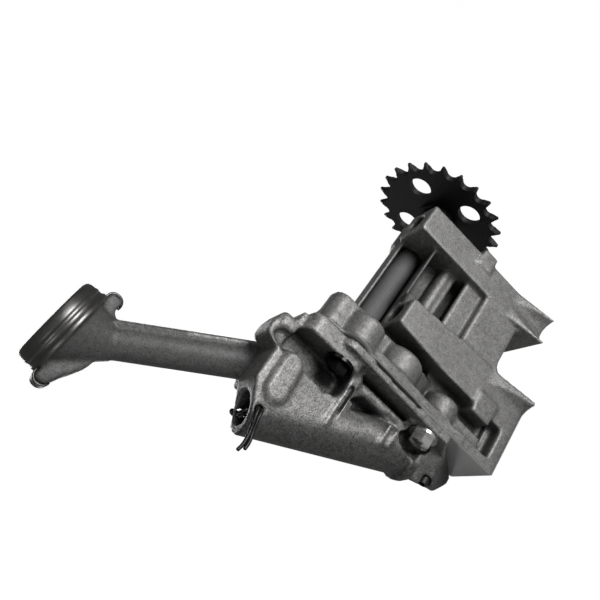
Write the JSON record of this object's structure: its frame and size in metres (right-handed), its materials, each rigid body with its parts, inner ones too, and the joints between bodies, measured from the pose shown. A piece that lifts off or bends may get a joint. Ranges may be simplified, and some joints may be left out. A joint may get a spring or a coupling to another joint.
{
  "type": "engine oil pump",
  "caption": "Chain-driven engine oil pump with a die-cast gear case on two bolt columns, a black sprocket, a relief valve with a split pin and a suction tube with a pressed strainer.",
  "frame": {"origin": "axis of the rear mounting bolt's bore at the rear foot's face", "axes": "+Z along the bolt bores, away from the engine block; +Y along the drive shaft towards the sprocket; +X to the side with the open bolt columns"},
  "size_m": [0.0703, 0.1725, 0.1644],
  "materials": {
    "cast_aluminium": "shot-blasted die casting",
    "black_steel": "black oxide, satin",
    "ground_steel": "ground",
    "sintered_steel": "sintered, oiled",
    "bronze": "machined",
    "zinc_steel": "bright zinc plated",
    "spring_steel": "drawn wire, oiled",
    "pressed_steel": "pressed sheet, satin",
    "steel_gauze": "woven wire"
  },
  "bodies": {
    "pump": {"pump_body": "cast_aluminium", "pump_cover": "cast_aluminium", "idler_pin": "ground_steel", "front_shaft_bush": "bronze", "rear_shaft_bush": "bronze", "cover_screws": "zinc_steel", "cover_dowels": "ground_steel", "relief_spring": "spring_steel", "spring_seat": "pressed_steel", "split_pin": "spring_steel", "strainer_cup": "pressed_steel", "strainer_mesh": "steel_gauze", "roll_pin": "black_steel"},
    "drive_train": {"drive_shaft": "ground_steel", "sprocket_hub": "black_steel", "drive_sprocket": "black_steel", "drive_gear": "sintered_steel"},
    "driven_train": {"driven_gear": "sintered_steel", "driven_gear_bush": "bronze"},
    "relief_valve": {"relief_piston": "ground_steel"}
  },
  "joints": [
    {"name": "drive_spin", "type": "hinge", "parent": "pump", "child": "drive_train", "pos_m": [-0.012, 0, 0.073], "axis": [0, 1, 0], "continuous": true},
    {"name": "idler_spin", "type": "hinge", "parent": "pump", "child": "driven_train", "pos_m": [-0.012, 0, 0.05], "axis": [0, 1, 0], "continuous": true},
    {"name": "relief_slide", "type": "slide", "parent": "pump", "child": "relief_valve", "axis": [0, -0.4462, 0.8949], "range_m": [0, 0.008], "stiffness_N_per_m": 3000, "springref_m": -0.02, "deforming": ["relief_spring"]}
  ],
  "couplings": [
    {"joint": "idler_spin", "follows": "drive_spin", "ratio": -1}
  ]
}
